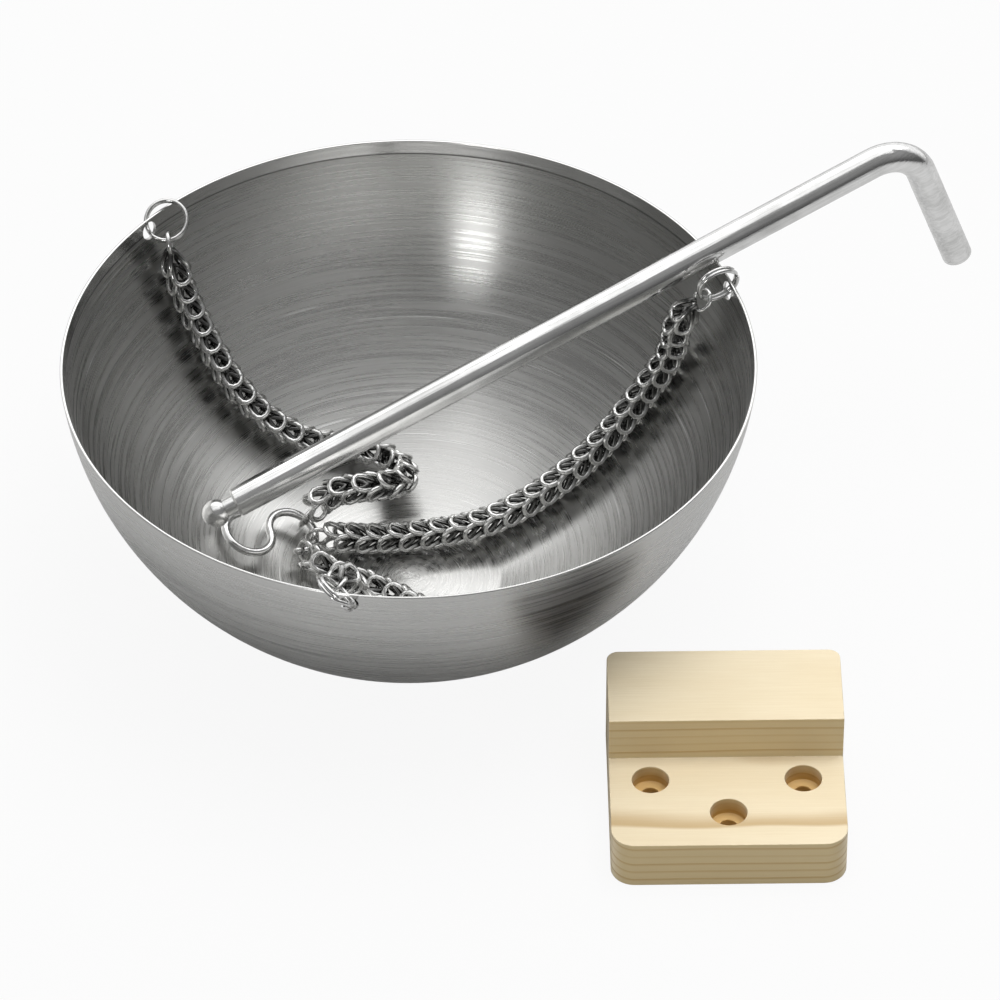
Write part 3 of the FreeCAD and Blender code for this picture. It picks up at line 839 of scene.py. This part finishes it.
CHAINS = (
    WheatChain(1, ((-0.0624, 0.0541, 0.0702), (-0.0613, 0.0528, 0.0634), (-0.0570, 0.0520, 0.0490),
                   (-0.0460, 0.0425, 0.0295), (-0.0300, 0.0375, 0.0170), (-0.0140, 0.0390, 0.0130),
                   (-0.0025, 0.0330, 0.0125), (-0.0010, 0.0215, 0.0156), (-0.0110, 0.0160, 0.0190),
                   (-0.0221, 0.0189, 0.0148), (-0.0264, 0.0161, 0.0100)),
               length=0.135, twist=0.5, seed=4),
    WheatChain(2, ((0.0756, 0.0278, 0.0720), (0.0706, 0.0282, 0.0671), (0.0700, 0.0330, 0.0510),
                   (0.0610, 0.0310, 0.0361), (0.0505, 0.0260, 0.0235), (0.0365, 0.0205, 0.0128),
                   (0.0210, 0.0155, 0.0062), (0.0050, 0.0120, 0.0054), (-0.0090, 0.0105, 0.0054),
                   (-0.0159, 0.0106, 0.0059), (-0.0229, 0.0103, 0.0065)),
               length=0.138, twist=0.985, seed=9),
    WheatChain(3, ((-0.0181, -0.0818, 0.0741), (-0.0174, -0.0755, 0.0711),
                   (-0.0150, -0.0725, 0.0665), (-0.0110, -0.0720, 0.0510),
                   (0.0000, -0.0665, 0.0345), (0.0090, -0.0520, 0.0208),
                   (0.0110, -0.0340, 0.0106), (0.0040, -0.0195, 0.0062),
                   (-0.0060, -0.0100, 0.0054), (-0.0150, -0.0050, 0.0054),
                   (-0.0224, -0.0031, 0.0071), (-0.0266, 0.0025, 0.0071)),
               length=0.146, twist=0.8, seed=15),
)


# ---------- the bowl


@dataclass
class Bowl:
    """A thin spherical bowl with a flat base, a rounded rim and three ring holes."""

    rim_radius: float = 0.09
    height: float = RIM_HEIGHT
    base_radius: float = 0.024
    wall: float = 0.0008
    rim_round: float = 0.0003
    hole_radius: float = 0.0025
    hole_drop: float = 0.0032
    hole_azimuths: tuple[float, ...] = (140.0, 260.0, 20.0)
    segments: int = 240
    wall_rows: int = 34

    def spheres(self) -> tuple[float, float, float]:
        """The two spheres of the wall.

        Returns:
            Outer radius, inner radius and the height of their common centre.
        """
        centre = (self.rim_radius**2 + self.height**2 - self.base_radius**2) / (2 * self.height)
        outer = math.hypot(self.base_radius, centre)
        return outer, outer - self.wall, centre

    def profile(self) -> list[tuple[float, float]]:
        """Half section of the wall, from the underside's middle round to the floor's middle.

        Returns:
            The section's (radius, height) pairs.
        """
        outer, inner, centre = self.spheres()
        points = [(self.base_radius * share, 0.0) for share in (0.0, 0.25, 0.5, 0.75, 0.97)]

        def wall(radius: float, first: tuple[float, float], last: tuple[float, float]) -> None:
            """Adds an arc about the spheres' centre.

            Args:
                radius: the arc's radius.
                first: where it starts.
                last: where it ends.
            """
            start = math.atan2(first[0], centre - first[1])
            stop = math.atan2(last[0], centre - last[1])
            for step in range(self.wall_rows + 1):
                angle = start + (stop - start) * step / self.wall_rows
                points.append((radius * math.sin(angle), centre - radius * math.cos(angle)))

        low = self.height - self.rim_round
        edge = self.rim_round
        outer_low = math.sqrt(outer**2 - (centre - low) ** 2)
        inner_low = math.sqrt(inner**2 - (centre - low) ** 2)
        wall(outer, (self.base_radius, 0.0), (outer_low, low))
        for turn in (30, 60, 90):
            angle = math.radians(turn)
            points.append((outer_low - edge + edge * math.cos(angle), low + edge * math.sin(angle)))
        for turn in (90, 60, 30):
            angle = math.radians(turn)
            points.append((inner_low + edge - edge * math.cos(angle), low + edge * math.sin(angle)))
        inner_base = math.sqrt(inner**2 - (centre - self.wall) ** 2)
        wall(inner, (inner_low, low), (inner_base, self.wall))
        points += [(inner_base * share, self.wall) for share in (0.97, 0.75, 0.5, 0.25, 0.0)]
        return points

    def turned(self) -> bpy.types.Mesh:
        """Turns the profile about Z.

        Returns:
            The closed mesh.
        """
        shape = bmesh.new()
        rings = []
        for radius, height in self.profile():
            if radius < 1e-9:
                rings.append([shape.verts.new((0.0, 0.0, height))])
                continue
            rings.append([
                shape.verts.new((radius * math.cos(a), radius * math.sin(a), height))
                for a in (2 * math.pi * side / self.segments for side in range(self.segments))
            ])
        for lower, upper in zip(rings, rings[1:]):
            for side in range(self.segments):
                after = (side + 1) % self.segments
                corners = [lower[side % len(lower)], lower[after % len(lower)],
                           upper[after % len(upper)], upper[side % len(upper)]]
                shape.faces.new(list(dict.fromkeys(corners)))
        bmesh.ops.recalc_face_normals(shape, faces=shape.faces)
        return mesh_from(shape, "bowl_turned")

    def drill(self, piece: bpy.types.Object) -> bpy.types.Object:
        """Cuts the ring holes.

        Args:
            piece: the turned bowl.

        Returns:
            The drilled bowl as a plain mesh object.
        """
        shape = bmesh.new()
        for azimuth in self.hole_azimuths:
            angle = math.radians(azimuth)
            outwards = Vector((math.cos(angle), math.sin(angle), 0.0))
            middle = outwards * self.rim_radius + Vector((0, 0, self.height - self.hole_drop))
            placed = basis(tuple(middle), (0, 0, 1), tuple(outwards))
            bmesh.ops.create_cone(shape, cap_ends=True, segments=32, radius1=self.hole_radius,
                                  radius2=self.hole_radius, depth=0.01, matrix=placed)
        cutter = mesh_object("ring_hole_cutter", mesh_from(shape, "ring_hole_cutter"))
        cut = piece.modifiers.new("ring_holes", "BOOLEAN")
        cut.operation = "DIFFERENCE"
        cut.solver = "EXACT"
        cut.object = cutter
        piece = settle(piece)
        bpy.data.objects.remove(cutter, do_unlink=True)
        return piece

    def true_normals(self, mesh: bpy.types.Mesh) -> None:
        """Gives the spherical walls the normals of a true sphere.

        Args:
            mesh: the drilled bowl's mesh.
        """
        outer, inner, centre = self.spheres()
        middle = Vector((0, 0, centre))
        on_wall, same_way = 2e-5, 0.985
        shade_smooth(mesh, SMOOTH_LIMIT)
        normals = [Vector(corner.vector) for corner in mesh.corner_normals]
        for face in mesh.polygons:
            for loop in face.loop_indices:
                place = mesh.vertices[mesh.loops[loop].vertex_index].co
                spoke = place - middle
                for radius, sign in ((outer, 1.0), (inner, -1.0)):
                    ideal = spoke.normalized() * sign
                    if abs(spoke.length - radius) < on_wall and face.normal.dot(ideal) > same_way:
                        normals[loop] = ideal
        mesh.normals_split_custom_set(normals)

    def build(self, finish: bpy.types.Material) -> bpy.types.Object:
        """Makes the bowl.

        Args:
            finish: the brushed steel.

        Returns:
            The bowl's object.
        """
        piece = self.drill(mesh_object("brushed_bowl", self.turned()))
        self.true_normals(piece.data)
        piece.data.materials.clear()
        piece.data.materials.append(finish)
        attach(piece, "pot")
        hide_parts("bowl")
        log.info("bowl: %d faces", len(piece.data.polygons))
        return piece


# ---------- rings, links, hook and arm


@dataclass
class SplitRing:
    """A ring of springy wire wound twice, with both cut ends showing."""

    number: int
    placement: Matrix
    start_angle: float
    radius: float = 0.00545
    wire: float = 0.00108
    coil_pitch: float = 0.001
    windings: float = 1.93
    crossing: float = 50.0
    end_taper: float = 0.8
    end_reach: float = 0.25
    steps: int = 96

    def build(self, finish: bpy.types.Material) -> bpy.types.Object:
        """Winds the wire.

        Args:
            finish: the wire's material.

        Returns:
            The ring's object.
        """
        points = []
        for step in range(self.steps + 1):
            angle = 2 * math.pi * self.windings * step / self.steps
            late = math.degrees(angle) - 180 * self.windings + self.crossing / 2
            share = min(max(late / self.crossing, 0.0), 1.0)
            share = share * share * (3 - 2 * share)
            turn = angle + math.radians(self.start_angle)
            wound = Vector((self.radius * math.cos(turn), self.radius * math.sin(turn),
                            self.coil_pitch * (share - 0.5)))
            points.append(self.placement @ wound)
        side = self.placement.to_3x3() @ Vector((0, 0, 1))
        frames = frames_along(points, side)
        radius = self.wire / 2
        ends = []
        for sign, end in ((-1, frames[0]), (1, frames[-1])):
            shift = end.col[2].to_3d() * sign * self.end_reach * radius
            ends.append((Matrix.Translation(shift) @ end, radius * self.end_taper))
        mesh = swept([ends[0], *((f, radius) for f in frames), ends[1]], 14)
        mesh.materials.append(finish)
        piece = mesh_object(f"split_ring_{self.number}", mesh)
        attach(piece, f"rim_ring_{self.number}")
        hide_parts(f"rim_ring_{self.number}")
        log.info("split ring %d: %d faces", self.number, len(mesh.polygons))
        return piece


RINGS = (
    SplitRing(1, basis((-0.06343, 0.0590, 0.07557), (0.117, -0.823, -0.556),
                       (0.101, 0.567, -0.818)), start_angle=62.0),
    SplitRing(2, basis((0.08081, 0.02834, 0.07782), (-0.642, -0.1305, -0.7554),
                       (-0.400, 0.8975, 0.1851)), start_angle=215.0),
    SplitRing(3, basis((-0.0186, -0.0887, 0.0779), (0.0455, 0.8665, -0.4972),
                       (-0.669, -0.343, -0.659)), start_angle=175.0),
)


@dataclass
class SHook:
    """Round wire bent into a nearly closed bow and an open bow."""

    placement: Matrix = field(default_factory=lambda: basis(
        (-0.0313, 0.0097, 0.0091), (0.8794, 0.3652, -0.3053), (0.3679, -0.1145, 0.9228)))
    bow_radius: float = 0.0065
    wire: float = 0.0022
    closed_sweep: float = 275.0
    open_sweep: float = 260.0
    closed_steps: int = 40
    open_steps: int = 38
    tip_turns: tuple[float, ...] = (20.0, 40.0, 60.0, 75.0, 87.0)

    def centre_line(self) -> list[Vector]:
        """The wire's middle, from the closed bow's tip to the open bow's tip.

        Returns:
            The line's points.
        """
        points = []
        for step in range(self.closed_steps + 1):
            angle = math.radians(180 + self.closed_sweep * (step / self.closed_steps - 1))
            points.append(Vector((math.cos(angle), math.sin(angle), 0)))
        for step in range(1, self.open_steps + 1):
            angle = math.radians(-self.open_sweep * step / self.open_steps)
            points.append(Vector((math.cos(angle) - 2, math.sin(angle), 0)))
        return [self.placement @ (self.bow_radius * p) for p in points]

    def build(self, finish: bpy.types.Material) -> bpy.types.Object:
        """Bends the wire, with half-round tips.

        Args:
            finish: the wire's material.

        Returns:
            The hook's object.
        """
        points = self.centre_line()
        frames = frames_along(points, self.placement.to_3x3() @ Vector((0, 0, 1)))
        radius = self.wire / 2
        rings = [(f, radius) for f in frames]
        for sign, end in ((-1, frames[0]), (1, frames[-1])):
            tip = []
            for angle in map(math.radians, self.tip_turns):
                shift = end.col[2].to_3d() * sign * radius * math.sin(angle)
                tip.append((Matrix.Translation(shift) @ end, radius * math.cos(angle)))
            rings = rings + tip if sign > 0 else tip[::-1] + rings
        mesh = swept(rings, 20)
        mesh.materials.append(finish)
        piece = mesh_object("s_hook_wire", mesh)
        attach(piece, "hook")
        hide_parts("s_hook")
        log.info("s-hook: %d faces", len(mesh.polygons))
        return piece


@dataclass
class SwingArm:
    """A polished round bar with a necked ball knob and, at the other end, a bent-down leg."""

    tip: Point = (-0.054, -0.0082, 0.0298)
    azimuth: float = 19.25
    slope: float = 20.0
    diameter: float = 0.008
    length: float = 0.209
    leg: float = 0.0455
    bend: float = 0.011
    knob_diameter: float = 0.0074
    neck_diameter: float = 0.005
    neck_length: float = 0.0025
    chamfer: float = 0.0006
    knob_start: float = 1.5
    knob_rows: int = 14
    bar_rows: int = 24
    bend_rows: int = 20

    def placement(self) -> Matrix:
        """Where the bar's own frame lies.

        Returns:
            The frame, with X along the bar and -Z down the leg.
        """
        turned = Matrix.Rotation(math.radians(self.azimuth), 4, "Z") @ Matrix.Rotation(
            -math.radians(self.slope), 4, "Y")
        return Matrix.Translation(Vector(self.tip)) @ turned

    def rings(self) -> list[tuple[Matrix, float]]:
        """The bar's cross-sections, from the knob to the end of the leg.

        Returns:
            Each section's frame and radius.
        """
        radius = self.diameter / 2
        knob = self.knob_diameter / 2
        neck = self.neck_diameter / 2
        stations = []
        stop = math.degrees(math.asin(neck / knob))
        for step in range(self.knob_rows + 1):
            share = step / self.knob_rows
            angle = math.radians(self.knob_start + (180 - stop - self.knob_start) * share)
            stations.append((knob * (1 - math.cos(angle)), knob * math.sin(angle)))
        shoulder = self.knob_diameter + self.neck_length
        stations += [(shoulder - self.chamfer, neck),
                     (shoulder - self.chamfer, radius - self.chamfer), (shoulder, radius)]
        straight = self.length - self.bend
        stations += [(shoulder + (straight - shoulder) * step / self.bar_rows, radius)
                     for step in range(1, self.bar_rows + 1)]
        result = []
        place = self.placement()

        def ring(x: float, z: float, turn: float, size: float) -> None:
            """Adds a section.

            Args:
                x: its place along the bar.
                z: its height over the bar.
                turn: how far it is turned towards the leg, in degrees.
                size: its radius.
            """
            facing = Matrix.Rotation(math.radians(90 + turn), 4, "Y")
            result.append((place @ Matrix.Translation((x, 0, z)) @ facing, size))

        for x, size in stations:
            ring(x, 0.0, 0.0, size)
        for step in range(1, self.bend_rows + 1):
            turn = 90 * step / self.bend_rows
            angle = math.radians(turn)
            ring(straight + self.bend * math.sin(angle), self.bend * (math.cos(angle) - 1), turn,
                 radius)
        ring(self.length, self.chamfer - self.leg, 90.0, radius)
        ring(self.length, -self.leg, 90.0, radius - self.chamfer)
        return result

    def build(self, finish: bpy.types.Material) -> bpy.types.Object:
        """Makes the bar.

        Args:
            finish: the polished bar's material.

        Returns:
            The arm's object.
        """
        mesh = swept(self.rings(), 48)
        mesh.materials.append(finish)
        piece = mesh_object("swing_arm_bar", mesh)
        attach(piece, "arm")
        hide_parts("swing_arm")
        log.info("swing arm: %d faces", len(mesh.polygons))
        return piece


@dataclass
class WallBlock:
    """The stepped softwood block, with its edges eased by sandpaper."""

    easing: float = 0.00045
    eased_angle: float = 50.0
    flat_angle: float = 0.5
    bore_centres: tuple[tuple[float, float], ...] = (
        (0.0605, -0.091), (0.0995, -0.091), (0.08, -0.103))
    bore_reach: float = 0.005
    bore_span: tuple[float, float] = (0.0006, 0.0136)

    def mark_bores(self, mesh: bpy.types.Mesh) -> None:
        """Marks the drilled walls, which the block's material paints darker.

        Args:
            mesh: the block's mesh.
        """
        mark = mesh.attributes.new("bored", "FLOAT", "POINT")
        low, high = self.bore_span
        for vertex in mesh.vertices:
            x, y, z = vertex.co
            near = min(math.hypot(x - cx, y - cy) for cx, cy in self.bore_centres)
            mark.data[vertex.index].value = float(near < self.bore_reach and low < z < high)

    def build(self, finish: bpy.types.Material) -> bpy.types.Object:
        """Copies the frame's block and eases its edges.

        Args:
            finish: the wood's material.

        Returns:
            The block's object.
        """
        shape = bmesh.new()
        shape.from_mesh(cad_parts["wall_block"].data)
        bmesh.ops.remove_doubles(shape, verts=shape.verts, dist=1e-6)
        bmesh.ops.dissolve_limit(shape, angle_limit=math.radians(self.flat_angle),
                                 verts=shape.verts, edges=shape.edges)
        mesh = mesh_from(shape, "spruce_block")
        mesh.materials.clear()
        mesh.materials.append(finish)
        shade_smooth(mesh)
        piece = mesh_object("spruce_block", mesh)
        eased = piece.modifiers.new("eased", "BEVEL")
        eased.width = self.easing
        eased.segments = 2
        eased.limit_method = "ANGLE"
        eased.angle_limit = math.radians(self.eased_angle)
        flat = piece.modifiers.new("flat_faces", "WEIGHTED_NORMAL")
        flat.weight = 100
        piece = settle(piece)
        self.mark_bores(piece.data)
        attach(piece, "block")
        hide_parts("wall_block")
        piece.visible_glossy = False
        log.info("wall block: %d faces", len(piece.data.polygons))
        return piece


def dress_end_links(finish: bpy.types.Material) -> None:
    """Gives the six end links, which stay as they are in the frame, the chain's finish.

    Args:
        finish: the chain wire's material.
    """
    for number in (1, 2, 3):
        for end in ("rim", "hook"):
            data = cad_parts[f"chain_{number}_{end}_link"].data
            data.materials.clear()
            data.materials.append(finish)


# ---------- the studio


class Softbox(Enum):
    """Place, aim, width, height and power of each lamp."""

    KEY = ((0.3, -0.05, 1.35), (0.0, 0.0, 0.03), 0.9, 0.9, 12.0)
    CEILING = ((-0.05, 0.12, 1.3), (0.0, 0.0, 0.03), 1.5, 1.0, 4.4)
    BACK = ((0.05, 0.95, 1.15), (0.0, 0.0, 0.03), 2.4, 0.75, 6.6)
    COLUMN = ((-0.62, -1.46, 0.27), (0.0, 0.0, 0.05), 0.34, 0.5, 4.2)


@dataclass
class Studio:
    """Camera, lamps, floor and surroundings."""

    lens: float = 279.0
    eye: Point = (0.0, -1.50713, 1.39176)
    ahead: Point = (0.0116, 0.7415, -0.6708)
    right: Point = (0.9999, -0.0157, 0.0)
    floor_size: float = 6.0
    floor_tone: float = 0.58
    floor_glow: float = 0.92
    room_floor: float = 0.07
    room_ceiling: float = 0.3

    def camera(self) -> None:
        """Sets up the camera."""
        data = bpy.data.cameras.new("camera")
        data.lens = self.lens
        data.sensor_width = 36.0
        data.clip_start = 0.1
        data.clip_end = 20.0
        holder = bpy.data.objects.new("camera", data)
        holder.matrix_world = basis(self.eye, self.right, tuple(-c for c in self.ahead))
        bpy.context.scene.collection.objects.link(holder)
        bpy.context.scene.camera = holder

    def floor(self) -> None:
        """Lays a plain white floor that shows the shadow and reads as white to the eye."""
        draft = Draft("white_floor")
        graph, tree = draft.graph, draft.graph.tree
        draft.fill(Base_Color=opaque((self.floor_tone,) * 3), Roughness=0.9, Specular_IOR_Level=0.1)
        ray = graph.add("ShaderNodeLightPath").outputs
        white = graph.add("ShaderNodeEmission", {"Color": opaque((1.0, 1.0, 1.0)), "Strength": 1.0})
        seen = graph.math("MULTIPLY", ray["Is Camera Ray"], self.floor_glow)
        mix = graph.add("ShaderNodeMixShader",
                        {0: seen, 1: draft.shader.outputs[0], 2: white.outputs[0]})
        output = next(n for n in tree.nodes if n.type == "OUTPUT_MATERIAL")
        tree.links.new(mix.outputs[0], output.inputs["Surface"])
        half = self.floor_size / 2
        corners = [(-half, -half, 0), (half, -half, 0), (half, half, 0), (-half, half, 0)]
        mesh = bpy.data.meshes.new("floor")
        mesh.from_pydata(corners, [], [(0, 1, 2, 3)])
        mesh.materials.append(draft.material)
        mesh_object("floor", mesh)

    def surroundings(self) -> None:
        """White to the eye, a darkening grey room to the metal."""
        world = bpy.data.worlds.new("studio")
        bpy.context.scene.world = world
        world.use_nodes = True
        graph = Graph(world.node_tree)
        back = next(n for n in world.node_tree.nodes if n.type == "BACKGROUND")
        up = graph.split(graph.coordinates("Generated"))
        level = graph.span(up[2], -0.1, 0.9, self.room_floor, self.room_ceiling)
        backdrop = graph.span(up[1], -0.05, 0.55)
        ray = graph.add("ShaderNodeLightPath").outputs
        mirrored = graph.math("MULTIPLY", ray["Is Glossy Ray"], backdrop)
        bright = graph.math("MAXIMUM", ray["Is Camera Ray"], mirrored)
        strength = graph.math("MAXIMUM", level, bright)
        world.node_tree.links.new(strength, back.inputs["Strength"])
        back.inputs["Color"].default_value = opaque((1.0, 1.0, 1.0))

    def lamps(self) -> None:
        """Hangs the softboxes."""
        for box in Softbox:
            place, aim, width, height, power = box.value
            data = bpy.data.lights.new(f"softbox_{box.name.lower()}", "AREA")
            data.shape = "RECTANGLE"
            data.size = width
            data.size_y = height
            data.energy = power
            holder = bpy.data.objects.new(data.name, data)
            holder.visible_glossy = box is not Softbox.KEY
            holder.location = place
            towards = Vector(aim) - Vector(place)
            holder.rotation_euler = towards.to_track_quat("-Z", "Y").to_euler()
            bpy.context.scene.collection.objects.link(holder)

    def build(self) -> None:
        """Everything around the object."""
        self.floor()
        self.surroundings()
        self.lamps()
        bpy.context.scene.view_settings.view_transform = "Standard"


# ---------- main


def main() -> None:
    """Builds the studio and every piece, in order."""
    logging.basicConfig(level=logging.INFO, format="%(name)s: %(message)s")
    studio = Studio()
    studio.camera()
    groups = Groups()
    arm = SwingArm()
    bar_direction = tuple(arm.placement().col[0].to_3d())
    wire = PolishedSteel(groups, "polished_chain_wire", colour=(0.82, 0.82, 0.81), smooth=0.06,
                         smudge_size=0.004, seed=2.0, painted_shade_strength=0.85).material()
    ring_wire = PolishedSteel(groups, "polished_ring_wire", smudge_size=0.004, seed=5.0).material()
    hook_wire = PolishedSteel(groups, "polished_hook_wire", smudge_size=0.006, seed=7.0).material()
    bar = PolishedSteel(groups, "polished_bar", colour=(0.9, 0.9, 0.895), smooth=0.12,
                        rough=0.26, smudge_size=0.02, draw_direction=bar_direction,
                        seed=3.0).material()
    tree = saddle_link_tree()
    for chain in CHAINS:
        chain.build(tree, wire)
    dress_end_links(wire)
    Bowl().build(BrushedBowlSteel(groups).material())
    for ring in RINGS:
        ring.build(ring_wire)
    SHook().build(hook_wire)
    arm.build(bar)
    WallBlock().build(PlanedSpruce(groups).material())
    studio.build()


if __name__ == "__main__":
    main()
